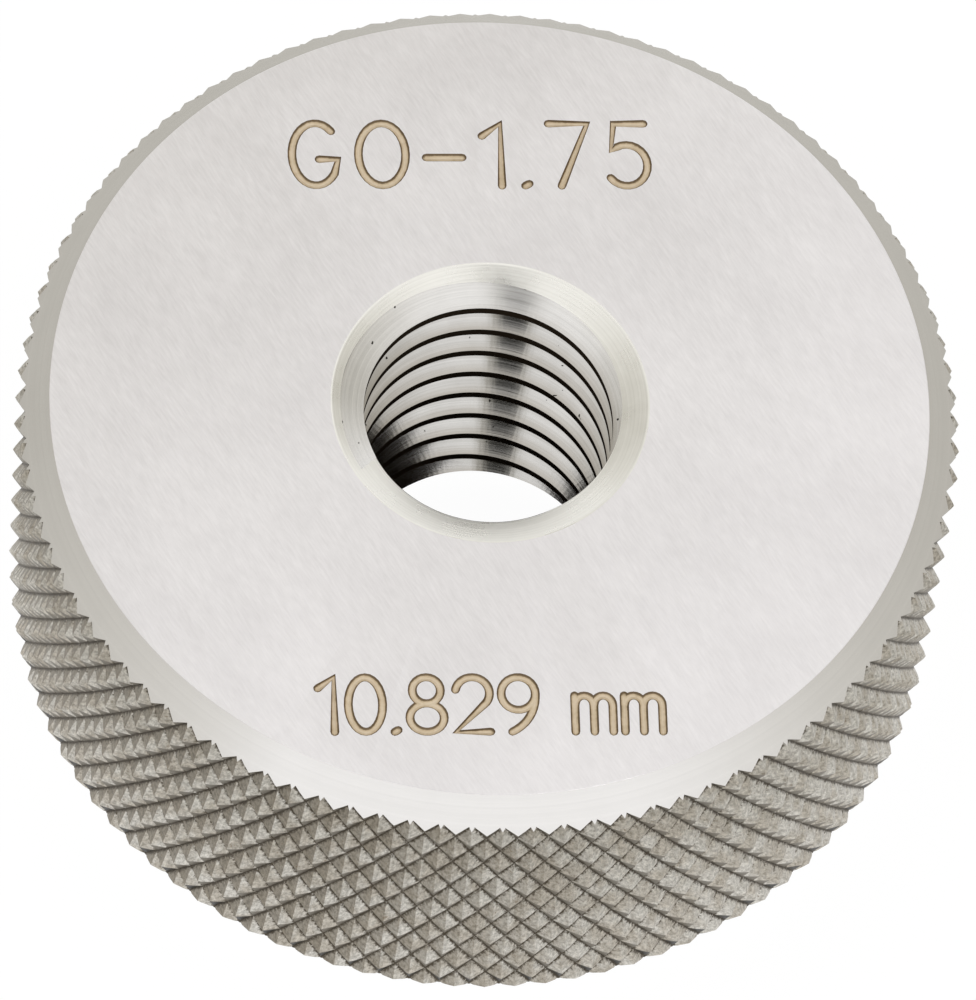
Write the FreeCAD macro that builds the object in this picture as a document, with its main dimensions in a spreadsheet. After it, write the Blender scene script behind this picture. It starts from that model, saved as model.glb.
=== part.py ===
import FreeCAD, Part
import Sketcher
import math
import os

# Thread ring gauge, go side, for an M12 coarse external thread.
# It is one hardened steel ring: two ground faces, a turned bevel round each face,
# a diamond knurl round the rim, and a bore with a countersink at each end.
# Millimetres. The ring stands on its lower face at z = 0, with the bore along +Z
# and the middle of the lower face at the origin.

document = FreeCAD.newDocument("thread_ring_gauge")

# Driving dimensions

sheet = document.addObject("Spreadsheet::Sheet", "dimensions")
sheet_rows = []


def dimension(name, value):
    """Write one driving dimension into the sheet and give its cell a name."""
    sheet_rows.append(name)
    row = len(sheet_rows)
    sheet.set("A%d" % row, name)
    sheet.set("B%d" % row, str(value))
    sheet.setAlias("B%d" % row, name)


# Rim: the diameter is measured over the tips of the knurl.
dimension("body_diameter", 38)
dimension("body_height", 16)
dimension("bevel_width", 1.37)
dimension("bevel_depth", 1.49)

# Thread: the bore is as wide as the thread's minor diameter.
dimension("thread_nominal", 12)
dimension("thread_pitch", 1.75)
dimension("thread_allowance", 0.034)

# Mouth of the bore, the same at both ends. The countersink starts outside the
# thread's major radius and leans about 59 degrees off the axis.
dimension("countersink_clearance", 0.35)
dimension("countersink_depth", 0.79)

# Knurl: the pitch is measured square to its grooves.
dimension("knurl_pitch", 1.077)
dimension("knurl_helix_angle", 30)
dimension("knurl_tooth_angle", 105)

# Stock that the turned blank has outside the tips of the knurl.
dimension("stock_margin", 0.5)

document.recompute()


def size(name):
    """Read one driving dimension from the sheet."""
    return float(sheet.get(name))


# Turned blank: half of its section, revolved about the axis of the bore

blank = document.addObject("PartDesign::Body", "turned_blank")
blank.Label = "turned_blank"
section_plane = [plane for plane in blank.Origin.OriginFeatures if plane.Role == "XZ_Plane"][0]

section = blank.newObject("Sketcher::SketchObject", "half_section")
section.AttachmentSupport = [(section_plane, "")]
section.MapMode = "FlatFace"

minor_diameter = size("thread_nominal") - 1.0825 * size("thread_pitch") - size("thread_allowance")
bore_radius = minor_diameter / 2
mouth_radius = size("thread_nominal") / 2 + size("countersink_clearance")
mouth_depth = size("countersink_depth")
tip_radius = size("body_diameter") / 2
face_radius = tip_radius - size("bevel_width")
stock_radius = tip_radius + size("stock_margin")
stock_drop = (size("bevel_width") + size("stock_margin")) * size("bevel_depth") / size("bevel_width")
height = size("body_height")

outline = [
    (mouth_radius, 0),
    (face_radius, 0),
    (stock_radius, stock_drop),
    (stock_radius, height - stock_drop),
    (face_radius, height),
    (mouth_radius, height),
    (bore_radius, height - mouth_depth),
    (bore_radius, mouth_depth),
]
points = [FreeCAD.Vector(across, up, 0) for across, up in outline]
for start, end in zip(points, points[1:] + points[:1]):
    section.addGeometry(Part.LineSegment(start, end), False)

# The lines of the section, in the order in which they were drawn.
LOWER_FACE = 0
LOWER_BEVEL = 1
RIM = 2
UPPER_BEVEL = 3
UPPER_FACE = 4
UPPER_SINK = 5
BORE = 6
LOWER_SINK = 7
START = 1
END = 2
MIDDLE = -1

for line in range(len(points)):
    section.addConstraint(Sketcher.Constraint("Coincident", line, END, (line + 1) % len(points), START))

# The faces lie flat, the rim and the bore stand upright, and the upper end
# mirrors the lower one.
section.addConstraint(Sketcher.Constraint("PointOnObject", LOWER_FACE, START, -1))
section.addConstraint(Sketcher.Constraint("Horizontal", LOWER_FACE))
section.addConstraint(Sketcher.Constraint("Horizontal", UPPER_FACE))
section.addConstraint(Sketcher.Constraint("Vertical", RIM))
section.addConstraint(Sketcher.Constraint("Vertical", BORE))
section.addConstraint(Sketcher.Constraint("Vertical", LOWER_FACE, START, UPPER_FACE, END))
section.addConstraint(Sketcher.Constraint("Vertical", LOWER_FACE, END, UPPER_FACE, START))


def bind(kind, name, first, second, value, expression):
    """Constrain two points of the section and tie their distance to the sheet."""
    index = section.addConstraint(Sketcher.Constraint(kind, *first, *second, value))
    section.renameConstraint(index, name)
    section.setExpression("Constraints." + name, expression)


def radius(name, line, end, value, expression):
    """Set how far a point of the section stands from the axis of the bore."""
    bind("DistanceX", name, (MIDDLE, START), (line, end), value, expression)


def rise(name, lower, upper, value, expression):
    """Set how far one point of the section stands above another."""
    bind("DistanceY", name, lower, upper, value, expression)


TIP = "dimensions.body_diameter / 2"
MAJOR = "dimensions.thread_nominal / 2"
MINOR = "(dimensions.thread_nominal - 1.0825 * dimensions.thread_pitch - dimensions.thread_allowance) / 2"
SLOPE = "dimensions.bevel_depth / dimensions.bevel_width"
DROP = "(dimensions.bevel_width + dimensions.stock_margin) * " + SLOPE
SINK = "dimensions.countersink_depth"

radius("mouth_radius", LOWER_FACE, START, mouth_radius, MAJOR + " + dimensions.countersink_clearance")
radius("face_radius", LOWER_FACE, END, face_radius, TIP + " - dimensions.bevel_width")
radius("stock_radius", RIM, START, stock_radius, TIP + " + dimensions.stock_margin")
radius("bore_radius", BORE, START, bore_radius, MINOR)
rise("height", (LOWER_FACE, END), (UPPER_FACE, START), height, "dimensions.body_height")
rise("lower_bevel", (LOWER_FACE, END), (RIM, START), stock_drop, DROP)
rise("upper_bevel", (RIM, END), (UPPER_FACE, START), stock_drop, DROP)
rise("upper_sink", (BORE, START), (UPPER_FACE, END), mouth_depth, SINK)
rise("lower_sink", (LOWER_FACE, START), (BORE, END), mouth_depth, SINK)

turning = blank.newObject("PartDesign::Revolution", "turning")
turning.Profile = section
turning.ReferenceAxis = (section, ["V_Axis"])
turning.Angle = 360
document.recompute()

# Diamond knurl
#
# Two sets of straight grooves cross at the helix angle on either side of the axis.
# What stands between them is a pyramid with four flat sides: its tip lies on the
# body diameter, and its four corners are the crossings, at the bottom of the grooves.
# The number of teeth is the one that divides the rim evenly, nearest to the pitch.
# It is a multiple of four, so that the ring measures the same along X and along Y.

helix = math.radians(size("knurl_helix_angle"))
half_tooth = math.radians(size("knurl_tooth_angle") / 2)
rim_length = 2 * math.pi * tip_radius
teeth = 4 * max(1, round(rim_length * math.cos(helix) / size("knurl_pitch") / 4))
tooth_width = rim_length / teeth
groove_depth = tooth_width * math.cos(helix) / 2 / math.tan(half_tooth)
root_radius = tip_radius - groove_depth
row_height = tooth_width / math.tan(helix) / 2
rows_each_way = math.ceil((height / 2 + size("stock_margin")) / row_height)


def knurl_point(column, row):
    """A tip or a crossing: they take turns along each row and up each column."""
    reach = tip_radius if (column + row) % 2 == 0 else root_radius
    turn = math.pi * (column % (2 * teeth)) / teeth
    up = height / 2 + row * row_height
    return FreeCAD.Vector(reach * math.cos(turn), reach * math.sin(turn), up)


def flat_face(corners):
    """A flat face inside a closed ring of straight edges."""
    return Part.Face(Part.makePolygon(corners + corners[:1]))


knurl_faces = []
for row in range(-rows_each_way, rows_each_way):
    for column in range(2 * teeth):
        near = knurl_point(column, row)
        across = knurl_point(column + 1, row)
        above = knurl_point(column, row + 1)
        opposite = knurl_point(column + 1, row + 1)
        if (column + row) % 2 == 0:
            # A groove runs from the point across to the point above.
            knurl_faces.append(flat_face([near, across, above]))
            knurl_faces.append(flat_face([opposite, above, across]))
        else:
            # A groove runs from the near point to the opposite one.
            knurl_faces.append(flat_face([across, opposite, near]))
            knurl_faces.append(flat_face([above, near, opposite]))
for row in (-rows_each_way, rows_each_way):
    knurl_faces.append(flat_face([knurl_point(column, row) for column in range(2 * teeth)]))

knurl_shell = Part.Shell(knurl_faces)
knurl_shell.sewShape()
knurl = document.addObject("Part::Feature", "knurled_bar")
knurl.Label = "knurled_bar"
knurl.Shape = Part.Solid(knurl_shell)
knurl.Placement = FreeCAD.Placement()

# The gauge is what the turned blank and the knurled bar have in common.

gauge = document.addObject("Part::Common", "thread_ring")
gauge.Label = "thread_ring"
gauge.Base = blank
gauge.Tool = knurl
gauge.Placement = FreeCAD.Placement()
document.recompute()

# Every object has to be sound before anything is written.

for item in document.Objects:
    if "Invalid" in item.State or "Error" in item.State:
        raise RuntimeError("%s failed: %s" % (item.Label, item.State))
for item in (blank, knurl, gauge):
    if item.Shape.isNull() or not item.Shape.isValid():
        raise RuntimeError("%s has no sound shape" % item.Label)
if len(gauge.Shape.Solids) != 1:
    raise RuntimeError("the gauge is not one solid")

box = gauge.Shape.BoundBox
print("teeth round the rim: %d, rows each way: %d" % (teeth, rows_each_way))
print("groove depth: %.3f, row height: %.3f" % (groove_depth, row_height))
print("faces: %d" % len(gauge.Shape.Faces))
print("size: %.3f x %.3f x %.3f" % (box.XLength, box.YLength, box.ZLength))
print("volume: %.1f" % gauge.Shape.Volume)

os.makedirs("parts", exist_ok=True)
gauge.Shape.exportStep("parts/thread_ring.step")
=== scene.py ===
# %% [markdown]
# # A thread ring gauge, cut the way a toolmaker cuts it
#
# A ring gauge is one hardened steel ring. Its rim is knurled for grip, both faces are
# ground flat, and a precise thread runs through its middle. This lesson makes it with
# the steps of the workshop: it turns a blank, engraves it, cuts the thread and knurls
# the rim. Each cut is made with a tool of its own shape and takes that tool's finish.

# %% Load the measured ring
import math

import bmesh
import bpy
from mathutils import Matrix, Vector


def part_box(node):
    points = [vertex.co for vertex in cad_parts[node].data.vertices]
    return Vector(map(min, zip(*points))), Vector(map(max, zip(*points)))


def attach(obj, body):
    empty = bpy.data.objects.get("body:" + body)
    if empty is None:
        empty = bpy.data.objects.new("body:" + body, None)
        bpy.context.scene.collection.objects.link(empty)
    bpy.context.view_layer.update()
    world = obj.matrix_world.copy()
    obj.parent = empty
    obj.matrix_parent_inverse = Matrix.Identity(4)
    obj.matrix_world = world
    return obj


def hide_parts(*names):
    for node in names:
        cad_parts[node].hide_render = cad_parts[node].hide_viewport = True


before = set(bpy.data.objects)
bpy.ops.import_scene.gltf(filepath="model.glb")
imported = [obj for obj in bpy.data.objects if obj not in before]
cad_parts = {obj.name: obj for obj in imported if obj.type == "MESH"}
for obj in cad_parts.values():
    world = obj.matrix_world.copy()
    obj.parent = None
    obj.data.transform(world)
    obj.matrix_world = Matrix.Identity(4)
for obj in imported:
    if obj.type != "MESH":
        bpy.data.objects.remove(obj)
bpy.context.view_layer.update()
mm = 0.001
print("parts:", sorted(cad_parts))

# %% [markdown]
# The measured ring gives the outer sizes, so nothing is fitted by eye. The other sizes
# are the ones that the ring was drawn with: the bevels, the mouth of the bore, the M12
# thread, whose pitch is 1.75 mm, and the knurl, whose two sets of grooves lean 30
# degrees either way. The rows of the knurl lie a little lower than an even layout would
# put them, and knurl_drop says by how much.

# %% Sizes in metres
ring_low, ring_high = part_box("thread_ring")
ring_height = ring_high.z - ring_low.z
tip_radius = (ring_high.x - ring_low.x) / 2
bevel_width = 1.37 * mm
bevel_depth = 1.49 * mm
face_radius = tip_radius - bevel_width
stock_margin = 0.5 * mm

thread_nominal = 12 * mm
thread_pitch = 1.75 * mm
thread_allowance = 0.034 * mm
major_radius = thread_nominal / 2
minor_radius = (thread_nominal - 1.0825 * thread_pitch - thread_allowance) / 2
mouth_radius = major_radius + 0.35 * mm
mouth_depth = 0.79 * mm

knurl_teeth = 96
knurl_helix = math.radians(30)
knurl_tooth_angle = math.radians(105)
tooth_width = 2 * math.pi * tip_radius / knurl_teeth
knurl_depth = tooth_width * math.cos(knurl_helix) / 2 / math.tan(knurl_tooth_angle / 2)
knurl_row = tooth_width / math.tan(knurl_helix) / 2
knurl_drop = 0.38 * mm
print("ring: %.2f mm across, %.2f mm high" % (2000 * tip_radius, 1000 * ring_height))

# %% [markdown]
# Both kinds of node tree in this lesson, the ones that make shapes and the ones that
# make finishes, are built by the same two helpers. The first adds a node and wires its
# inputs. The second does one sum and hands back its result. The others here turn a tree
# or a modifier into a plain mesh, because only plain meshes are cut and handed over.

# %% Helpers for node trees
def add_node(tree, kind, wires=None, **settings):
    """Add a node, change its settings, and wire or fill its inputs."""
    made = tree.nodes.new(kind)
    for name, value in settings.items():
        setattr(made, name, value)
    for name, value in (wires or {}).items():
        if isinstance(value, bpy.types.NodeSocket):
            tree.links.new(value, made.inputs[name])
        else:
            made.inputs[name].default_value = value
    return made


def sum_of(tree, operation, first, second=0.0, third=0.0):
    """One Math node, and the socket with its answer."""
    made = add_node(tree, "ShaderNodeMath", {0: first, 1: second, 2: third}, operation=operation)
    return made.outputs[0]


def new_shape_tree(name, inputs):
    """A geometry tree with named inputs. Returns the tree, its inputs and its output."""
    tree = bpy.data.node_groups.new(name, "GeometryNodeTree")
    tree.interface.new_socket(name="Geometry", in_out="OUTPUT", socket_type="NodeSocketGeometry")
    for label, kind in inputs.items():
        tree.interface.new_socket(name=label, in_out="INPUT", socket_type="NodeSocket" + kind)
    return tree, tree.nodes.new("NodeGroupInput"), tree.nodes.new("NodeGroupOutput")


def end_shape_tree(tree, given, result, geometry):
    """End a tree as every shape here ends: as real geometry that wears its finish."""
    whole = add_node(tree, "GeometryNodeRealizeInstances", {"Geometry": geometry})
    dressed = add_node(tree, "GeometryNodeSetMaterial", {
        "Geometry": whole.outputs[0], "Material": given.outputs["Finish"],
    })
    tree.links.new(dressed.outputs[0], result.inputs["Geometry"])


def add_object(name, data):
    """Put a mesh, a curve, a camera or a lamp into the scene."""
    made = bpy.data.objects.new(name, data)
    bpy.context.scene.collection.objects.link(made)
    return made


def grow(name, tree, values):
    """Run a geometry tree on an empty mesh and keep the result as a plain mesh."""
    seed = add_object(name + "_seed", bpy.data.meshes.new(name + "_seed"))
    modifier = seed.modifiers.new(name, "NODES")
    modifier.node_group = tree
    for item in tree.interface.items_tree:
        if item.in_out == "INPUT" and item.name in values:
            modifier[item.identifier] = values[item.name]
    return settle(name, seed)


def settle(name, made):
    """Turn an object and its modifiers into one plain mesh object, and remove the first."""
    graph = bpy.context.evaluated_depsgraph_get()
    mesh = bpy.data.meshes.new_from_object(made.evaluated_get(graph))
    mesh.name = name
    bpy.data.objects.remove(made)
    return add_object(name, mesh)


def sew(piece):
    """Join the points that lie on each other, so that caps and seams are closed."""
    shape = bmesh.new()
    shape.from_mesh(piece.data)
    bmesh.ops.remove_doubles(shape, verts=shape.verts, dist=0.0005 * mm)
    bmesh.ops.recalc_face_normals(shape, faces=shape.faces)
    shape.to_mesh(piece.data)
    shape.free()
    return piece


def describe(piece):
    """Print how many triangles a piece has and whether it is closed."""
    shape = bmesh.new()
    shape.from_mesh(piece.data)
    triangles = sum(len(face.verts) - 2 for face in shape.faces)
    loose = sum(1 for edge in shape.edges if len(edge.link_faces) != 2)
    volume = shape.calc_volume(signed=True) * 1e9
    shape.free()
    print("%s: %d triangles, %d open edges, %.1f cubic mm" % (piece.name, triangles, loose, volume))


# %% [markdown]
# ## Finishes
#
# Five kinds of finish meet on this one piece of steel: the ground face, the turned
# cones, the rolled knurl, the cut thread and the engraving. They differ less in colour
# than in the marks that each tool leaves. Every finish reads Object coordinates, so the
# marks stay on the steel when the camera moves.

# %% Helpers for finishes
def bare_material(name):
    """A material with no nodes yet, and its tree."""
    finish = bpy.data.materials.new(name)
    finish.use_nodes = True
    finish.node_tree.nodes.clear()
    return finish, finish.node_tree


def show(tree, surface):
    """Make a shader the surface of its material."""
    add_node(tree, "ShaderNodeOutputMaterial", {"Surface": surface})


def new_finish(name):
    """A metal material with an empty colour, and the sockets that most finishes need."""
    finish, tree = bare_material(name)
    shader = add_node(tree, "ShaderNodeBsdfPrincipled", {"Metallic": 1.0})
    show(tree, shader.outputs["BSDF"])
    place = tree.nodes.new("ShaderNodeTexCoord").outputs["Object"]
    return finish, tree, shader, place


def marks(tree, place, width, length=None, turn=0.0, detail=3.0, rough=0.6):
    """Noise with marks of one width. Longer marks point the way that turn gives."""
    mapping = add_node(tree, "ShaderNodeMapping", {
        "Vector": place, "Rotation": (0.0, 0.0, turn), "Scale": (length or width, width, width),
    }, vector_type="TEXTURE")
    noise = add_node(tree, "ShaderNodeTexNoise", {
        "Vector": mapping.outputs[0], "Scale": 1.0, "Detail": detail, "Roughness": rough,
    })
    return noise.outputs["Fac"]


def distance_from_axis(tree, place):
    """How far a point of the surface is from the axis of the bore."""
    flat = add_node(tree, "ShaderNodeVectorMath", {0: place, 1: (1, 1, 0)}, operation="MULTIPLY")
    length = add_node(tree, "ShaderNodeVectorMath", {0: flat.outputs[0]}, operation="LENGTH")
    return length.outputs["Value"]


def upward(tree, vector):
    """How high a point is, or how far up a direction points."""
    return add_node(tree, "ShaderNodeSeparateXYZ", {0: vector}).outputs["Z"]


def along(tree, first, second):
    """How far one direction points the way of another: 1 the same way, -1 the opposite way."""
    made = add_node(tree, "ShaderNodeVectorMath", {0: first, 1: second}, operation="DOT_PRODUCT")
    return made.outputs["Value"]


def ramp(tree, value, stops):
    """A colour ramp: each stop is a place between 0 and 1 and a colour."""
    made = add_node(tree, "ShaderNodeValToRGB", {"Fac": value})
    while len(made.color_ramp.elements) > 1:
        made.color_ramp.elements.remove(made.color_ramp.elements[0])
    made.color_ramp.elements[0].position = stops[0][0]
    made.color_ramp.elements[0].color = (*stops[0][1], 1.0)
    for at, colour in stops[1:]:
        made.color_ramp.elements.new(at).color = (*colour, 1.0)
    return made.outputs["Color"]


def stretch_range(tree, value, low, high, to_low=0.0, to_high=1.0):
    """Map one range of numbers to another and hold it there."""
    made = add_node(tree, "ShaderNodeMapRange", {
        "Value": value, "From Min": low, "From Max": high, "To Min": to_low, "To Max": to_high,
    })
    return made.outputs["Result"]


def blend_colours(tree, amount, first, second):
    """Mix two colours: an amount of 0 gives the first one and 1 the second."""
    made = add_node(tree, "ShaderNodeMix", {0: amount}, data_type="RGBA")
    for socket, value in ((made.inputs[6], first), (made.inputs[7], second)):
        if isinstance(value, bpy.types.NodeSocket):
            tree.links.new(value, socket)
        else:
            socket.default_value = (*value, 1.0)
    return made.outputs[2]


def emboss(tree, shader, height, depth):
    """Tilt the light by a height map, as if it were that deep in metres."""
    bump = add_node(tree, "ShaderNodeBump", {"Height": height, "Distance": depth, "Strength": 1.0})
    tree.links.new(bump.outputs["Normal"], shader.inputs["Normal"])


# %% [markdown]
# The faces come off a surface grinder. It leaves very fine straight scratches in one
# direction, so their noise is squeezed across that direction and left long along it.

# %% Ground face
grain_turn = math.radians(-60)

ground_face, tree, shader, place = new_finish("ground_face")
scratches = marks(tree, place, 0.10 * mm, 0.7 * mm, turn=grain_turn, detail=3.0)
patches = marks(tree, place, 0.45 * mm, 1.3 * mm, turn=grain_turn, detail=3.0)
clouds = marks(tree, place, 6.0 * mm, detail=2.0)
grain = sum_of(tree, "MULTIPLY_ADD", patches, 0.6, scratches)
grain = sum_of(tree, "MULTIPLY_ADD", clouds, 0.7, grain)
tone = stretch_range(tree, grain, 0.85, 1.45)
colour = blend_colours(tree, tone, (0.770, 0.746, 0.742), (0.880, 0.856, 0.852))
tree.links.new(colour, shader.inputs["Base Color"])
tree.links.new(stretch_range(tree, scratches, 0.3, 0.7, 0.28, 0.38), shader.inputs["Roughness"])
emboss(tree, shader, scratches, 0.002 * mm)
print("finish:", ground_face.name)

# %% [markdown]
# A lathe leaves rings on a cone, one for each turn of the work. The noise therefore
# runs along two numbers only: the distance from the axis and the height.

# %% Turned cones
def turned(name, dark, bright, roughness, ring_scale, ring_depth):
    """A turned finish: fine rings, ring_scale of them to a metre, over an uneven colour."""
    finish, tree, shader, place = new_finish(name)
    out = distance_from_axis(tree, place)
    path = add_node(tree, "ShaderNodeCombineXYZ", {0: out, 1: upward(tree, place), 2: 0.0})
    rings = add_node(tree, "ShaderNodeTexNoise", {
        "Vector": path.outputs[0], "Scale": ring_scale, "Detail": 3.0,
    })
    cloud = marks(tree, place, 1.5 * mm, detail=3.0)
    tone = sum_of(tree, "MULTIPLY_ADD", cloud, 0.6, rings.outputs["Fac"])
    tone = stretch_range(tree, tone, 0.55, 1.05)
    tree.links.new(blend_colours(tree, tone, dark, bright), shader.inputs["Base Color"])
    tree.links.new(stretch_range(tree, cloud, 0.3, 0.7, *roughness), shader.inputs["Roughness"])
    emboss(tree, shader, rings.outputs["Fac"], ring_depth)
    return finish


turned_bevel = turned(
    "turned_bevel", dark=(0.815, 0.798, 0.780), bright=(0.855, 0.838, 0.820),
    roughness=(0.13, 0.17), ring_scale=5000.0, ring_depth=0.0004 * mm,
)
turned_mouth = turned(
    "turned_mouth", dark=(0.81, 0.795, 0.740), bright=(0.96, 0.945, 0.89),
    roughness=(0.24, 0.34), ring_scale=12000.0, ring_depth=0.005 * mm,
)
print("finishes:", turned_bevel.name, turned_mouth.name)

# %% [markdown]
# The knurl is rolled into the steel, not cut. The metal is pressed and slightly torn,
# so it looks duller and warmer than the ground face, and its grey turns to brown in
# places.

# %% Steel of the knurl
rolled_knurl, tree, shader, place = new_finish("rolled_knurl")
ragged = stretch_range(tree, marks(tree, place, 0.15 * mm, detail=4.0, rough=0.75), 0.36, 0.64)
flecks = marks(tree, place, 0.30 * mm, detail=3.0)
film = marks(tree, place, 1.4 * mm, detail=3.0)
grey = blend_colours(tree, ragged, (0.400, 0.380, 0.340), (0.850, 0.825, 0.770))
brown = blend_colours(tree, ragged, (0.310, 0.280, 0.232), (0.700, 0.655, 0.580))
flank = blend_colours(tree, stretch_range(tree, film, 0.42, 0.58), grey, brown)
tree.links.new(stretch_range(tree, ragged, 0.0, 1.0, 0.42, 0.60), shader.inputs["Roughness"])
emboss(tree, shader, ragged, 0.006 * mm)
print("finish:", rolled_knurl.name)

# %% [markdown]
# The grooves are darker towards their bottom, as painted shade and dirt, and the flanks
# that face down get painted shade. On the side of the ring towards -X, the flanks that
# face clockwise are also painted a shaded brown. The way that a flank faces and the
# distance from the axis tell the finish where each of these is, so nothing has to be
# painted by hand.

# %% Painted shade, dirt and stains on the knurl
# Painted shade: on the side towards -X, the flanks that face clockwise turn brown.
facing = add_node(tree, "ShaderNodeNewGeometry").outputs["True Normal"]
round_rim = add_node(tree, "ShaderNodeVectorMath", {0: (0, 0, 1), 1: place}, operation="CROSS_PRODUCT")
round_rim = add_node(tree, "ShaderNodeVectorMath", {0: round_rim.outputs[0]}, operation="NORMALIZE")
faces_back = stretch_range(tree, along(tree, facing, round_rim.outputs[0]), -0.35, -0.05, 1.0, 0.0)
faces_side = stretch_range(tree, along(tree, facing, (-1, 0, 0)), 0.25, 0.80, 0.0, 0.75)
painted_shade_brown = blend_colours(tree, ragged, (0.130, 0.108, 0.078), (0.330, 0.290, 0.225))
flank = blend_colours(tree, sum_of(tree, "MULTIPLY", faces_back, faces_side), flank, painted_shade_brown)

# Painted shade on flanks that face down; the lowest of them are painted nearly black.
facing_up = upward(tree, facing)
faces_down = stretch_range(tree, facing_up, -0.25, -0.05, 0.75, 0.0)
flank = blend_colours(tree, faces_down, flank, (0.135, 0.115, 0.085))
lowest = stretch_range(tree, upward(tree, place), 1.9 * mm, 2.8 * mm, 1.0, 0.0)
hangs_over = stretch_range(tree, facing_up, -0.2, 0.0, 0.95, 0.0)
flank = blend_colours(tree, sum_of(tree, "MULTIPLY", lowest, hangs_over), flank, (0.012, 0.010, 0.007))

# Painted shade and dirt darken the grooves up to an uneven level.
out = distance_from_axis(tree, place)
depth = stretch_range(tree, out, tip_radius - knurl_depth, tip_radius)
level = sum_of(tree, "MULTIPLY_ADD", sum_of(tree, "SUBTRACT", ragged, 0.5), 0.20, depth)
above_groove_shade = stretch_range(tree, level, 0.02, 0.17)
steel = blend_colours(tree, above_groove_shade, (0.095, 0.078, 0.056), flank)
stain = stretch_range(tree, flecks, 0.66, 0.72)
steel = blend_colours(tree, sum_of(tree, "MULTIPLY", stain, 0.6), steel, (0.17, 0.115, 0.060))
tree.links.new(steel, shader.inputs["Base Color"])
print("knurl finish: %d nodes" % len(tree.nodes))

# %% [markdown]
# The thread was ground, so its flanks are the brightest steel here, with fine lines
# that follow each turn. The lines go by the distance from the axis, which is the same
# along a turn. The flanks are a little browner near the crest, darker and browner deep in
# the groove as painted shade, and lighter in the topmost turn.

# %% Flanks of the thread
cut_thread, tree, shader, place = new_finish("cut_thread")
out = distance_from_axis(tree, place)
height = upward(tree, place)
slow_height = sum_of(tree, "MULTIPLY", height, 0.12)
along_turn = add_node(tree, "ShaderNodeCombineXYZ", {0: out, 1: slow_height, 2: 0.0}).outputs[0]
lines = marks(tree, along_turn, 0.075 * mm, detail=3.0)
cloud = marks(tree, place, 1.6 * mm, detail=3.0)
tone = sum_of(tree, "MULTIPLY_ADD", cloud, 0.5, lines)
tone = stretch_range(tree, tone, 0.45, 1.05)
flank = blend_colours(tree, tone, (0.520, 0.505, 0.480), (0.740, 0.728, 0.705))
inner = stretch_range(tree, out, minor_radius, minor_radius + 0.35 * mm, 0.55, 0.0)
flank = blend_colours(tree, inner, flank, (0.360, 0.315, 0.250))
# Painted shade: darker and browner deep in the groove.
deep = stretch_range(tree, out, 5.60 * mm, 5.85 * mm, 0.0, 0.45)
flank = blend_colours(tree, deep, flank, (0.380, 0.320, 0.245))
top_turn = stretch_range(tree, height, 14.0 * mm, 15.0 * mm)
top_turn_flank = blend_colours(tree, tone, (0.720, 0.705, 0.680), (0.900, 0.885, 0.860))
flank = blend_colours(tree, top_turn, flank, top_turn_flank)
print("finish:", cut_thread.name)

# %% [markdown]
# Oil has run down one side of the bore and dried, and it has left a few specks. The
# narrow crests between the turns, and every surface that faces sideways or down, are
# painted almost black as shade, so they aren't bright metal any more. The finish tells
# crests from flanks by how far up the surface faces. Last, the flanks are made very
# slightly hollow, as the wheel leaves them, which bends what they mirror.

# %% Oil, painted shade and relief of the thread
stain_middle = (-4.9 * mm, -2.2 * mm, 3.5 * mm)
away = add_node(tree, "ShaderNodeVectorMath", {0: place, 1: stain_middle}, operation="DISTANCE")
away = sum_of(tree, "MULTIPLY_ADD", sum_of(tree, "SUBTRACT", cloud, 0.5), 3.0 * mm, away.outputs["Value"])
soaked = stretch_range(tree, away, 2.6 * mm, 5.6 * mm, 0.94, 0.0)
flank = blend_colours(tree, soaked, flank, (0.075, 0.056, 0.038))

specks = marks(tree, place, 0.30 * mm, detail=1.0)
flank = blend_colours(tree, stretch_range(tree, specks, 0.775, 0.795), flank, (0.03, 0.026, 0.02))

# Painted shade: what faces sideways or down, the crests most of all, is nearly black and not metal, except
# near the root.
facing_up = upward(tree, add_node(tree, "ShaderNodeNewGeometry").outputs["True Normal"])
bright = stretch_range(tree, facing_up, 0.35, 0.60)
root = stretch_range(tree, out, 5.6 * mm, 5.8 * mm, 0.0, 0.55)
bright = sum_of(tree, "MAXIMUM", bright, root)
steel = blend_colours(tree, bright, (0.028, 0.020, 0.013), flank)
tree.links.new(steel, shader.inputs["Base Color"])
tree.links.new(bright, shader.inputs["Metallic"])
shader.inputs["Specular IOR Level"].default_value = 0.0
polish = stretch_range(tree, lines, 0.3, 0.7, 0.09, 0.15)
polish = sum_of(tree, "MULTIPLY_ADD", soaked, 0.40, polish)
polish = sum_of(tree, "MULTIPLY_ADD", top_turn, 0.12, polish)
tree.links.new(polish, shader.inputs["Roughness"])

flank_middle = (major_radius + minor_radius) / 2
flank_half = (major_radius - minor_radius) / 2
from_middle = sum_of(tree, "DIVIDE", sum_of(tree, "SUBTRACT", out, flank_middle), flank_half)
hollow = sum_of(tree, "MULTIPLY", sum_of(tree, "MULTIPLY", from_middle, from_middle), 12.0)
relief = sum_of(tree, "ADD", hollow, lines)
relief = sum_of(tree, "MULTIPLY", relief, sum_of(tree, "SUBTRACT", 1.0, soaked))
emboss(tree, shader, relief, 0.0011 * mm)
print("thread finish: %d nodes" % len(tree.nodes))

# %% [markdown]
# The engraved strokes are shallow. Their walls look dark brown and their floor looks
# like pale bronze, so this finish goes by the depth below the face.

# %% Engraving
stroke_depth = 0.12 * mm

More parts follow.
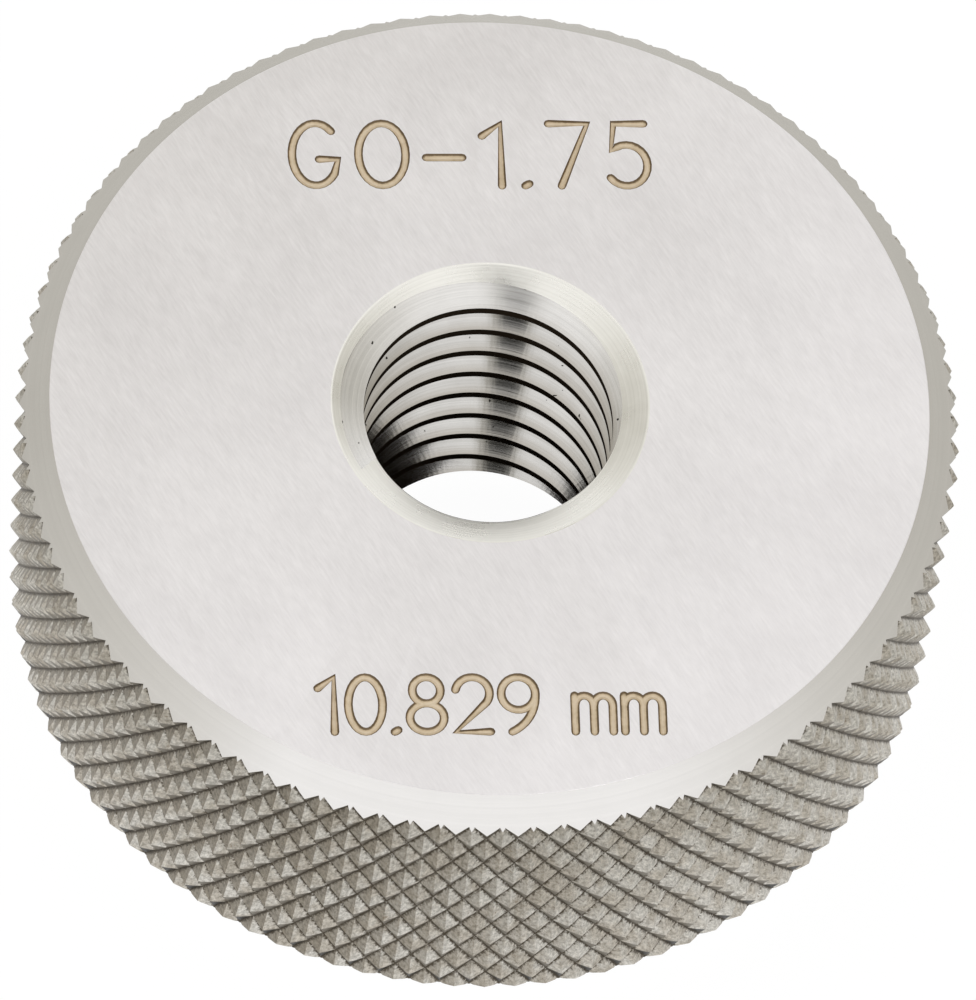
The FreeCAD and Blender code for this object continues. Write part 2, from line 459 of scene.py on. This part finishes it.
engraved, tree, shader, place = new_finish("engraved")
below = sum_of(tree, "SUBTRACT", ring_height, upward(tree, place))
blots = marks(tree, place, 0.35 * mm, detail=3.0)
level = sum_of(tree, "MULTIPLY_ADD", sum_of(tree, "SUBTRACT", blots, 0.5), 0.07 * mm, below)
level = stretch_range(tree, level, 0.0, stroke_depth)
bronze = ramp(tree, level, [
    (0.00, (0.140, 0.096, 0.052)),
    (0.56, (0.225, 0.162, 0.094)),
    (0.76, (0.655, 0.525, 0.350)),
    (1.00, (0.780, 0.655, 0.490)),
])
tree.links.new(bronze, shader.inputs["Base Color"])
shader.inputs["Roughness"].default_value = 0.5
shader.inputs["Metallic"].default_value = 0.6
print("finish:", engraved.name)

# %% [markdown]
# ## The turned blank
#
# A lathe makes a solid by turning half of its section about an axis. The same is done
# here in mesh code: each corner of the section becomes a ring of points, and each line
# between two corners becomes a band of faces with its own finish. Sharp corners look
# false, so most edges get a very small radius first.

# %% Half section of the blank
TURN_STEPS = 384
stock_radius = tip_radius + stock_margin
stock_drop = (stock_radius - face_radius) * bevel_depth / bevel_width

FINISHES = [ground_face, turned_bevel, turned_mouth, rolled_knurl, cut_thread, engraved]
FACE, BEVEL, MOUTH, KNURL, THREAD = range(5)

# Each row is a corner's distance from the axis, its height, how far its rounding reaches
# along the two lines that meet there, and the finish of the line that leaves it.
face_edge = 0.02 * mm
mouth_edge = 0.05 * mm
bore_edge = 0.04 * mm
section = [
    (mouth_radius, 0.0, mouth_edge, FACE),
    (face_radius, 0.0, face_edge, BEVEL),
    (stock_radius, stock_drop, 0.0, KNURL),
    (stock_radius, ring_height - stock_drop, 0.0, BEVEL),
    (face_radius, ring_height, face_edge, FACE),
    (mouth_radius, ring_height, mouth_edge, MOUTH),
    (minor_radius, ring_height - mouth_depth, bore_edge, THREAD),
    (minor_radius, mouth_depth, bore_edge, MOUTH),
]


def soften(corners, steps=3):
    """Replace each corner that is rounded by a few points along a curve."""
    points = []
    for index, (out, up, reach, finish) in enumerate(corners):
        here = Vector((out, up))
        before = Vector(corners[index - 1][:2])
        after = Vector(corners[(index + 1) % len(corners)][:2])
        if reach == 0.0:
            points.append((here, finish))
            continue
        start = here + (before - here).normalized() * reach
        end = here + (after - here).normalized() * reach
        for step in range(steps + 1):
            t = step / steps
            spot = start * (1 - t) ** 2 + here * 2 * t * (1 - t) + end * t * t
            points.append((spot, finish))
    return points


outline = soften(section)
print("points in the half section:", len(outline))

# %% Turn the section into a solid
def turn_on_lathe(name, points, steps):
    """Revolve a closed half section about the Z axis."""
    shape = bmesh.new()
    angles = [2 * math.pi * step / steps for step in range(steps)]
    rings = []
    for spot, finish in points:
        ring = [(spot.x * math.cos(angle), spot.x * math.sin(angle), spot.y) for angle in angles]
        rings.append([shape.verts.new(corner) for corner in ring])
    finishes = [finish for spot, finish in points]
    for low, high, finish in zip(rings, rings[1:] + rings[:1], finishes):
        for step in range(steps):
            after = (step + 1) % steps
            face = shape.faces.new((low[step], low[after], high[after], high[step]))
            face.material_index = finish
    bmesh.ops.recalc_face_normals(shape, faces=shape.faces)
    mesh = bpy.data.meshes.new(name)
    shape.to_mesh(mesh)
    shape.free()
    for finish in FINISHES:
        mesh.materials.append(finish)
    return add_object(name, mesh)


blank = turn_on_lathe("blank", outline, TURN_STEPS)
describe(blank)

# %% [markdown]
# ## Cutting tools
#
# A Boolean modifier takes one closed shape away from another. The steel that is left
# gets the material of the tool that touched it, so a tool only has to wear the right
# finish. Each cut becomes a plain mesh before the next one is made.

# %% Make one cut
def cut(work, tool, operation):
    """Cut the work with a tool, or keep only what they share, and clear the tool away."""
    modifier = work.modifiers.new("cut", "BOOLEAN")
    modifier.object = tool
    modifier.operation = operation
    modifier.solver = "MANIFOLD"
    modifier.material_mode = "TRANSFER"
    result = settle(work.name, work)
    bpy.data.objects.remove(tool)
    return result


# %% [markdown]
# ## Engraving the face
#
# A gauge is marked with what it measures. These marks are plain data for the thread: the
# go side and the pitch in one row, and the pitch diameter in the other. The cutter of an
# engraving machine follows single lines, so each letter is drawn as a few strokes, and a
# round rod with domed ends is laid along each stroke to cut it.

# %% Strokes of the letters
def bow(across, up, wide, tall, start, end, steps=18):
    """Points along part of an oval, from one angle to another, in degrees."""
    points = []
    for step in range(steps + 1):
        angle = math.radians(start + (end - start) * step / steps)
        points.append((across + wide * math.cos(angle), up + tall * math.sin(angle)))
    return points


def sweep(start, pull, end, steps=10):
    """Points along a curve that leaves the start towards one point and ends at another."""
    points = []
    for step in range(steps + 1):
        t = step / steps
        weights = ((1 - t) ** 2, 2 * t * (1 - t), t * t)
        across, up = (sum(w * p[axis] for w, p in zip(weights, (start, pull, end))) for axis in (0, 1))
        points.append((across, up))
    return points


# Each letter is one unit high. A stroke that ends where it starts is a closed loop.
LETTERS = {
    "0": (0.56, [bow(0.28, 0.5, 0.28, 0.5, 0, 360, 28)]),
    "1": (0.30, [[(0.0, 0.80), (0.26, 1.0), (0.26, 0.0)]]),
    "2": (0.56, [bow(0.28, 0.71, 0.28, 0.29, 168, -38) + [(0.0, 0.0), (0.56, 0.0)]]),
    "5": (0.54, [[(0.50, 1.0), (0.08, 1.0), (0.04, 0.58)] + bow(0.25, 0.33, 0.29, 0.33, 118, -142)]),
    "7": (0.54, [[(0.0, 1.0), (0.54, 1.0), (0.16, 0.0)]]),
    "8": (0.56, [bow(0.28, 0.76, 0.23, 0.24, 0, 360, 24), bow(0.28, 0.26, 0.28, 0.26, 0, 360, 26)]),
    "9": (0.56, [bow(0.28, 0.70, 0.28, 0.30, 0, 360, 26), sweep((0.56, 0.70), (0.56, 0.22), (0.17, 0.0))]),
    "G": (0.64, [bow(0.33, 0.5, 0.33, 0.5, 48, 322, 24) + [(0.64, 0.42), (0.38, 0.42)]]),
    "O": (0.66, [bow(0.33, 0.5, 0.33, 0.5, 0, 360, 28)]),
    "m": (0.62, [[(0.0, 0.0), (0.0, 0.66)],
                 [(0.0, 0.48)] + bow(0.155, 0.48, 0.155, 0.18, 150, 0, 10) + [(0.31, 0.0)],
                 [(0.31, 0.48)] + bow(0.465, 0.48, 0.155, 0.18, 150, 0, 10) + [(0.62, 0.0)]]),
    "-": (0.50, [[(0.0, 0.45), (0.50, 0.45)]]),
    ".": (0.06, [[(0.0, 0.0), (0.05, 0.03)]]),
    " ": (0.26, []),
}

stroke_radius = 0.20 * mm
dome_angles = [math.radians(angle) for angle in (35, 62, 84)]


def rod_along(points, closed):
    """A round rod along a stroke, above the face and just deep enough to mark it."""
    path = bpy.data.curves.new("stroke", "CURVE")
    path.dimensions = "3D"
    path.bevel_depth = stroke_radius
    path.bevel_resolution = 4
    path.use_fill_caps = not closed
    height = ring_height + stroke_radius - stroke_depth
    spots = [(Vector((x, y, height)), 1.0) for x, y in points]
    if closed:
        spots = spots[:-1]
    else:
        for end, inner in ((0, 1), (-1, -2)):
            out = (spots[end][0] - spots[inner][0]).normalized()
            dome = []
            for lean in dome_angles:
                dome.append((spots[end][0] + out * stroke_radius * math.sin(lean), math.cos(lean)))
            spots = dome[::-1] + spots if end == 0 else spots + dome
    line = path.splines.new("POLY")
    line.points.add(len(spots) - 1)
    for point, (spot, radius) in zip(line.points, spots):
        point.co = (*spot, 1.0)
        point.radius = radius
    line.use_cyclic_u = closed
    path.materials.append(engraved)
    return sew(settle("stroke", add_object("stroke", path)))


def engrave(work, words, left, right, base, tall):
    """Cut a row of letters that fills the space from left to right."""
    widths = [LETTERS[letter][0] * tall for letter in words]
    space = (right - left - sum(widths)) / (len(words) - 1)
    at = left
    for letter, width in zip(words, widths):
        for stroke in LETTERS[letter][1]:
            points = [(at + x * tall, base + y * tall) for x, y in stroke]
            closed = math.dist(points[0], points[-1]) < 1e-6
            work = cut(work, rod_along(points, closed), "DIFFERENCE")
        at += width + space
    print("engraved %r with %.2f mm between letters" % (words, 1000 * space))
    return work


# %% Engrave the two rows
blank = engrave(blank, "GO-1.75", left=-7.7 * mm, right=6.7 * mm, base=9.97 * mm, tall=2.90 * mm)
blank = engrave(blank, "10.829 mm", left=-7.2 * mm, right=6.4 * mm, base=-14.85 * mm, tall=2.42 * mm)
describe(blank)

# %% [markdown]
# ## Cutting the thread
#
# A thread is one profile carried along a helix, which is exactly what Curve to Mesh
# does. The profile is the groove between two turns: wide at the bore and narrow at its
# bottom, with flanks that lean 30 degrees. The coil starts below the ring and ends
# above it, so the groove runs out through both mouths, as a real tap or grinding wheel
# leaves it.

# %% Thread tree
tree, given, result = new_shape_tree("screw_thread", {
    "Turns": "Float", "Pitch": "Float", "Bore radius": "Float", "Groove depth": "Float",
    "Crest width": "Float", "Steps per turn": "Int", "Finish": "Material",
})
inside = 0.10 * mm  # how far the tool stands inside the bore, so that it cuts right through
rise = sum_of(tree, "MULTIPLY", given.outputs["Turns"], given.outputs["Pitch"])
start = sum_of(tree, "SUBTRACT", given.outputs["Bore radius"], inside)
helix = add_node(tree, "GeometryNodeCurveSpiral", {
    "Resolution": given.outputs["Steps per turn"], "Rotations": given.outputs["Turns"],
    "Start Radius": start, "End Radius": start, "Height": rise, "Reverse": True,
})
upright = add_node(tree, "GeometryNodeSetCurveNormal", {"Curve": helix.outputs[0]}, mode="Z_UP")

flank_angle = math.radians(30)
lean = math.tan(flank_angle)
deep = sum_of(tree, "ADD", given.outputs["Groove depth"], inside)
gap = sum_of(tree, "SUBTRACT", given.outputs["Pitch"], given.outputs["Crest width"])
half_mouth = sum_of(tree, "MULTIPLY_ADD", gap, 0.5, inside * lean)
half_root = sum_of(tree, "SUBTRACT", half_mouth, sum_of(tree, "MULTIPLY", deep, lean))
corners = []
mouth, root = (0.0, half_mouth), (deep, half_root)
for (out, half), side in ((mouth, -1), (root, -1), (root, 1), (mouth, 1)):
    up = sum_of(tree, "MULTIPLY", half, side)
    corners.append(add_node(tree, "ShaderNodeCombineXYZ", {0: out, 1: up, 2: 0.0}).outputs[0])
groove = add_node(tree, "GeometryNodeCurvePrimitiveQuadrilateral", mode="POINTS")
for number, corner in enumerate(corners, 1):
    tree.links.new(corner, groove.inputs["Point %d" % number])
body = add_node(tree, "GeometryNodeCurveToMesh", {
    "Curve": upright.outputs[0], "Profile Curve": groove.outputs[0], "Fill Caps": True,
})
end_shape_tree(tree, given, result, body.outputs[0])
thread_tree = tree
print("thread tree: %d nodes" % len(tree.nodes))

# %% Cut the thread
# Angles are in degrees about the bore, from +X towards +Y, and the groove climbs with
# them, because the thread is right-handed.
crest_width = 0.41 * mm
groove_depth = major_radius - minor_radius
first_turn_angle = 82.6
first_turn_height = 14.205 * mm - (thread_pitch - crest_width) / 2
turns_below, turns_above = 8.5, 2.0
start_angle = math.radians(first_turn_angle - 360 * turns_below)
start_height = first_turn_height - thread_pitch * turns_below

thread_tool = grow("thread_tool", thread_tree, {
    "Turns": turns_below + turns_above, "Pitch": thread_pitch, "Bore radius": minor_radius,
    "Groove depth": groove_depth, "Crest width": crest_width,
    "Steps per turn": 144, "Finish": cut_thread,
})
thread_tool.data.transform(Matrix.Translation((0, 0, start_height)) @ Matrix.Rotation(start_angle, 4, "Z"))
describe(thread_tool)
blank = cut(blank, thread_tool, "DIFFERENCE")
describe(blank)

# %% [markdown]
# ## Rolling the knurl
#
# A diamond knurl is two sets of slanting grooves that cross. On a flat grid that is one
# short rule: the grooves of one set lie where column plus row is odd, those of the other
# set where column minus row is odd, and a point is as deep as the nearer groove makes
# it. Rolled teeth are slightly fuller than flat-sided pyramids, so that depth is raised
# to a power a little over one.

# %% Rule of the knurl
tree, given, result = new_shape_tree("diamond_knurl", {
    "Teeth": "Int", "Rows each way": "Int", "Steps per row": "Int", "Tip radius": "Float",
    "Depth": "Float", "Fullness": "Float", "Row height": "Float", "Middle height": "Float",
    "Unevenness": "Float", "Finish": "Material",
})
teeth = given.outputs["Teeth"]
rows = given.outputs["Rows each way"]
steps = given.outputs["Steps per row"]
columns = sum_of(tree, "MULTIPLY", teeth, 2.0)
lines = sum_of(tree, "MULTIPLY", rows, 2.0)


def reach_at(tree, column, row):
    """How far from the axis a point of the lattice stands."""
    one_way = sum_of(tree, "PINGPONG", sum_of(tree, "ADD", column, row), 1.0)
    other_way = sum_of(tree, "PINGPONG", sum_of(tree, "SUBTRACT", column, row), 1.0)
    deeper = sum_of(tree, "MAXIMUM", one_way, other_way)
    deeper = sum_of(tree, "POWER", deeper, given.outputs["Fullness"])
    drop = sum_of(tree, "MULTIPLY", deeper, given.outputs["Depth"])
    return sum_of(tree, "SUBTRACT", given.outputs["Tip radius"], drop)


def height_at(tree, row):
    """How high a row of the lattice stands."""
    return sum_of(tree, "MULTIPLY_ADD", row, given.outputs["Row height"], given.outputs["Middle height"])


# %% [markdown]
# The grid starts flat, one unit for each column and row, so its own points serve as the
# column and row of the rule. Each point is then set at the angle and the reach that they
# give, which wraps the grid round the axis. The triangles have to follow the grooves. A
# groove lies nearer to the axis than the teeth beside it, so it runs along the shorter
# diagonal of each cell.

# %% Wrap the grid round the axis
sheet = add_node(tree, "GeometryNodeMeshGrid", {
    "Size X": columns, "Size Y": lines,
    "Vertices X": sum_of(tree, "MULTIPLY_ADD", columns, steps, 1.0),
    "Vertices Y": sum_of(tree, "MULTIPLY_ADD", lines, steps, 1.0),
})
spot = add_node(tree, "ShaderNodeSeparateXYZ", {0: add_node(tree, "GeometryNodeInputPosition").outputs[0]})
column = spot.outputs["X"]
row = spot.outputs["Y"]
angle = sum_of(tree, "DIVIDE", sum_of(tree, "MULTIPLY", column, math.pi), teeth)
reach = reach_at(tree, column, row)
wrapped = add_node(tree, "ShaderNodeCombineXYZ", {
    0: sum_of(tree, "MULTIPLY", reach, sum_of(tree, "COSINE", angle)),
    1: sum_of(tree, "MULTIPLY", reach, sum_of(tree, "SINE", angle)),
    2: height_at(tree, row),
})
rim = add_node(tree, "GeometryNodeSetPosition", {
    "Geometry": sheet.outputs["Mesh"], "Position": wrapped.outputs[0],
})
facets = add_node(tree, "GeometryNodeTriangulate", {"Mesh": rim.outputs[0]}, quad_method="SHORTEST_DIAGONAL")
print("knurl tree so far: %d nodes" % len(tree.nodes))

# %% [markdown]
# A Boolean needs a closed shape, so two discs whose edges follow the same rule close the
# ends, and the points that meet are merged. Last, a soft noise pushes the surface in and
# out along its own direction, because no two rolled teeth are quite alike. The push is
# mostly inward, so that no tooth stands past the measured ring.

# %% Close the ends and wear the teeth
ends = []
around = sum_of(tree, "MULTIPLY", columns, steps)
for side in (-1.0, 1.0):
    last_row = sum_of(tree, "MULTIPLY", rows, side)
    disc = add_node(tree, "GeometryNodeMeshCircle", {
        "Vertices": around, "Radius": 1.0,
    }, fill_type="TRIANGLE_FAN")
    number = sum_of(tree, "DIVIDE", add_node(tree, "GeometryNodeInputIndex").outputs[0], steps)
    here = add_node(tree, "GeometryNodeInputPosition").outputs[0]
    edge = add_node(tree, "ShaderNodeVectorMath", {0: here}, operation="SCALE")
    tree.links.new(reach_at(tree, number, last_row), edge.inputs["Scale"])
    lift = add_node(tree, "ShaderNodeCombineXYZ", {0: 0.0, 1: 0.0, 2: height_at(tree, last_row)})
    put = add_node(tree, "ShaderNodeVectorMath", {0: edge.outputs[0], 1: lift.outputs[0]}, operation="ADD")
    placed = add_node(tree, "GeometryNodeSetPosition", {
        "Geometry": disc.outputs["Mesh"], "Position": put.outputs[0],
    })
    if side < 0:
        placed = add_node(tree, "GeometryNodeFlipFaces", {"Mesh": placed.outputs[0]})
    ends.append(placed.outputs[0])

gathered = add_node(tree, "GeometryNodeJoinGeometry")
for part in (facets.outputs[0], *ends):
    tree.links.new(part, gathered.inputs[0])
sewn = add_node(tree, "GeometryNodeMergeByDistance", {
    "Geometry": gathered.outputs[0], "Distance": 0.001 * mm,
})
where = add_node(tree, "GeometryNodeInputPosition").outputs[0]
uneven = add_node(tree, "ShaderNodeTexNoise", {"Vector": where, "Scale": 2600.0, "Detail": 2.0})
push = sum_of(tree, "SUBTRACT", uneven.outputs["Fac"], 0.62)
push = sum_of(tree, "MULTIPLY", push, given.outputs["Unevenness"])
outward = add_node(tree, "GeometryNodeInputNormal").outputs[0]
move = add_node(tree, "ShaderNodeVectorMath", {0: outward}, operation="SCALE")
tree.links.new(push, move.inputs["Scale"])
worn = add_node(tree, "GeometryNodeSetPosition", {"Geometry": sewn.outputs[0], "Offset": move.outputs[0]})
end_shape_tree(tree, given, result, worn.outputs[0])
knurl_tree = tree
print("knurl tree: %d nodes" % len(tree.nodes))

# %% Knurl the rim
knurled_bar = grow("knurled_bar", knurl_tree, {
    "Teeth": knurl_teeth, "Rows each way": 9, "Steps per row": 4, "Tip radius": tip_radius,
    "Depth": knurl_depth, "Fullness": 1.08, "Row height": knurl_row,
    "Middle height": ring_height / 2 - knurl_drop, "Unevenness": 0.05 * mm, "Finish": rolled_knurl,
})
describe(knurled_bar)
gauge = cut(blank, knurled_bar, "INTERSECT")
gauge.name = "thread_ring_gauge"
gauge.data.name = "thread_ring_gauge"
describe(gauge)
print("finishes on the gauge:", [finish.name for finish in gauge.data.materials])

# %% [markdown]
# The cones and the thread are smooth round the ring but meet each other at sharp edges.
# Smooth shading with every edge over 28 degrees kept sharp shows both. An edge between
# two finishes is kept sharp as well, so that neither surface bends the other's shading.

# %% Shade the gauge and hand it over
sharpest_smooth = math.radians(28)
gauge.data.shade_smooth()
gauge.data.set_sharp_from_angle(angle=sharpest_smooth)
shape = bmesh.new()
shape.from_mesh(gauge.data)
borders = 0
for edge in shape.edges:
    if len({face.material_index for face in edge.link_faces}) > 1:
        edge.smooth = False
        borders += 1
shape.to_mesh(gauge.data)
shape.free()
print("edges between two finishes:", borders)
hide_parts("thread_ring")
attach(gauge, "root")

# %% [markdown]
# ## The studio
#
# Steel mostly shows what is round it. In an all-white room it would look like chalk, so
# a photographer stands grey cards beside it: each one turns a side of the bevel grey.
# The camera is dark too, and its reflection is the dark patch on the turns of the
# thread. The cards are hidden from the camera, and so is the dark card that stands for
# it. The floor is plain and pale: white round the ring and light grey farther out.

# %% Stage helpers
def lit_paper(name, near, far, near_glow, far_glow, inner, outer, share):
    """Matt paper with one colour inside a radius and another outside.

    The share says how much of what is seen is its own light. The rest shows shadows."""
    finish, tree = bare_material(name)
    place = tree.nodes.new("ShaderNodeTexCoord").outputs["Object"]
    fade = stretch_range(tree, distance_from_axis(tree, place), inner, outer)
    paper = blend_colours(tree, fade, near, far)
    matt = add_node(tree, "ShaderNodeBsdfDiffuse", {"Color": paper})
    light = blend_colours(tree, fade, near_glow, far_glow)
    glow = add_node(tree, "ShaderNodeEmission", {"Color": light, "Strength": 1.0})
    ray = tree.nodes.new("ShaderNodeLightPath")
    seen = sum_of(tree, "MAXIMUM", ray.outputs["Is Camera Ray"], ray.outputs["Is Glossy Ray"])
    seen = sum_of(tree, "MAXIMUM", seen, ray.outputs["Is Transmission Ray"])
    amount = sum_of(tree, "MULTIPLY", seen, share)
    mixed = add_node(tree, "ShaderNodeMixShader", {0: amount, 1: matt.outputs[0], 2: glow.outputs[0]})
    show(tree, mixed.outputs[0])
    return finish


# %% Floor
half_span = 0.6
below = -0.02 * mm
floor_paper = lit_paper(
    "white_paper", near=(0.93, 0.93, 0.93), far=(0.50, 0.49, 0.47),
    near_glow=(1.02, 1.02, 1.02), far_glow=(0.57, 0.557, 0.515),
    inner=36 * mm, outer=38.5 * mm, share=0.95,
)
mesh = bpy.data.meshes.new("floor")
corners = [(x * half_span, y * half_span, below) for x, y in ((-1, -1), (1, -1), (1, 1), (-1, 1))]
mesh.from_pydata(corners, [], [(0, 1, 2, 3)])
mesh.materials.append(floor_paper)
add_object("floor", mesh)
print("floor: %.1f m across" % (2 * half_span))

# %% [markdown]
# The camera stands where the photographer stood: well back with a long lens, about 61
# degrees up, a little to the left, and rolled by a few degrees. A long lens keeps the
# far side of the ring nearly as wide as the near side.

# %% Camera
camera_turn = math.radians(-7.4)
camera_height = math.radians(61.404)
camera_roll = math.radians(6.496)
camera_distance = 473.0 * mm
look_at = Vector((0.337, -0.151, 8.0)) * mm
pixels_per_mm = 24.627
focal_pixels = pixels_per_mm * camera_distance / mm
image_height = 1000
sensor_size = 36.0

eye = bpy.data.cameras.new("camera")
eye.sensor_width = sensor_size
eye.lens = focal_pixels / image_height * sensor_size
eye.clip_start = 0.01
eye.clip_end = 20.0
camera = add_object("camera", eye)
back = Vector((
    math.sin(camera_turn) * math.cos(camera_height),
    -math.cos(camera_turn) * math.cos(camera_height),
    math.sin(camera_height),
))
camera.location = look_at + back * camera_distance
facing = (-back).to_track_quat("-Z", "Y").to_matrix().to_4x4()
camera.rotation_euler = (facing @ Matrix.Rotation(camera_roll, 4, "Z")).to_euler()
bpy.context.scene.camera = camera
print("camera %.0f mm away, lens %.0f mm" % (1000 * camera_distance, eye.lens))

# %% [markdown]
# The cards are thin sheets that give off their own plain light, so their greys can be
# set without any lamp. A brightness is stored at each corner of a sheet, and Blender
# blends it across the faces, which gives soft edges in a mirror of steel.

# %% Helpers for the cards
def toward(turn, height, distance):
    """A point in the room: degrees to the right of the camera, degrees up, and metres."""
    around = camera_turn - math.pi / 2 + math.radians(turn)
    up = math.radians(height)
    return Vector((math.cos(around) * math.cos(up), math.sin(around) * math.cos(up), math.sin(up))) * distance


def glowing(name):
    """A card that gives off light by itself, as bright as the colour stored at each corner."""
    finish, tree = bare_material(name)
    stored = add_node(tree, "ShaderNodeVertexColor", layer_name="brightness")
    glow = add_node(tree, "ShaderNodeEmission", {"Color": stored.outputs["Color"], "Strength": 1.0})
    show(tree, glow.outputs[0])
    return finish


def hang(name, grid, finish):
    """A card out of the camera's sight, from rows of corners that have a brightness each."""
    wide = len(grid[0])
    corners = [corner for row in grid for corner in row]
    faces = []
    for row in range(len(grid) - 1):
        for column in range(wide - 1):
            first = row * wide + column
            faces.append((first, first + 1, first + wide + 1, first + wide))
    mesh = bpy.data.meshes.new(name)
    mesh.from_pydata([spot for spot, level in corners], [], faces)
    mesh.materials.append(finish)
    stored = mesh.color_attributes.new("brightness", "FLOAT_COLOR", "POINT")
    for entry, (spot, level) in zip(stored.data, corners):
        dark = 1 - level
        entry.color = (level, level * (1 - green_loss * dark), level * (1 - blue_loss * dark), 1.0)
    card = add_object(name, mesh)
    card.visible_camera = False


# The darker a card is, the warmer its grey: it gives back less green and far less blue.
green_loss = 0.055
blue_loss = 0.22
card_finish = glowing("grey_card")

# %% [markdown]
# A curved grey card stands on each side of the ring. The bevel leans halfway between
# flat and upright, so each part of it mirrors a low part of the room on its own side.
# That is why a card is graded: each column gives the degrees from the camera and the
# grey at the foot, and each row a height and how far the grey has faded to white there.

# %% Side cards
side_distance = 0.15
rows = ((0.0, 0.0), (0.095, 0.0), (0.135, 0.30), (0.180, 0.62), (0.230, 1.0))
left_columns = (
    (30, 1.0), (45, 0.81), (58, 0.72), (71, 0.66), (85, 0.615),
    (96, 0.585), (107, 0.55), (130, 0.60), (140, 0.72), (150, 0.92),
)
right_columns = (
    (34, 1.0), (45, 0.95), (58, 0.84), (71, 0.72), (85, 0.63),
    (96, 0.595), (107, 0.57), (130, 0.55), (140, 0.70), (150, 0.92),
)
for name, side, columns in (("left", -1, left_columns), ("right", 1, right_columns)):
    grid = []
    for up, fade in rows:
        feet = [(toward(side * turn, 0, side_distance), grey) for turn, grey in columns]
        grid.append([(foot + Vector((0, 0, up)), 1 - (1 - grey) * (1 - fade)) for foot, grey in feet])
    hang("card_" + name, grid, card_finish)
print("side cards: %.2f m from the ring" % side_distance)

# %% Camera card and overhead card
# The camera and its tripod are dark, with soft edges.
camera_card_distance = 0.44
rows = ((51, 0.0), (56, 1.0), (62, 1.0), (66, 0.0))
columns = ((-21, 1.0), (-15, 0.55), (-12, 0.02), (8, 0.02), (11, 0.45), (17, 0.55), (19, 1.0))
grid = []
for height, dim in rows:
    spots = [(toward(turn, height, camera_card_distance), level) for turn, level in columns]
    grid.append([(spot, 1 - (1 - level) * dim) for spot, level in spots])
hang("card_camera", grid, card_finish)

# A pale grey card overhead, behind the ring, shades the far side of the face a little.
overhead_height = 0.25
overhead_grey = 0.77
near_edge = ((-100, 0.20), (165, 0.15))
far_edge = ((-135, 0.5), (180, 0.5))
grid = []
for edge in (near_edge, far_edge):
    spots = [toward(turn, 0, reach) + Vector((0, 0, overhead_height)) for turn, reach in edge]
    grid.append([(spot, overhead_grey) for spot in spots])
hang("card_overhead", grid, card_finish)

# %% [markdown]
# The room is white and lights everything evenly. One small, weak soft box makes the
# teeth of the knurl lighter on one side. A strong one would leave a glaring line on the
# bevel and on every turn of the thread.

# %% Room light
world = bpy.data.worlds.new("studio")
bpy.context.scene.world = world
world.use_nodes = True
tree = world.node_tree
tree.nodes.clear()
room = add_node(tree, "ShaderNodeBackground", {"Color": (1.0, 1.0, 1.0, 1.0), "Strength": 1.0})
add_node(tree, "ShaderNodeOutputWorld", {"Surface": room.outputs[0]})

key_turn, key_height, key_distance = 40, 39, 0.5
key = bpy.data.lights.new("soft_box", "AREA")
key.shape = "SQUARE"
key.size = 0.08
key.energy = 0.6
soft_box = add_object("soft_box", key)
soft_box.location = toward(key_turn, key_height, key_distance)
soft_box.rotation_euler = soft_box.location.to_track_quat("Z", "Y").to_euler()

bpy.context.scene.view_settings.view_transform = "Standard"
print("soft box: %.1f W from %.1f m away" % (key.energy, key_distance))
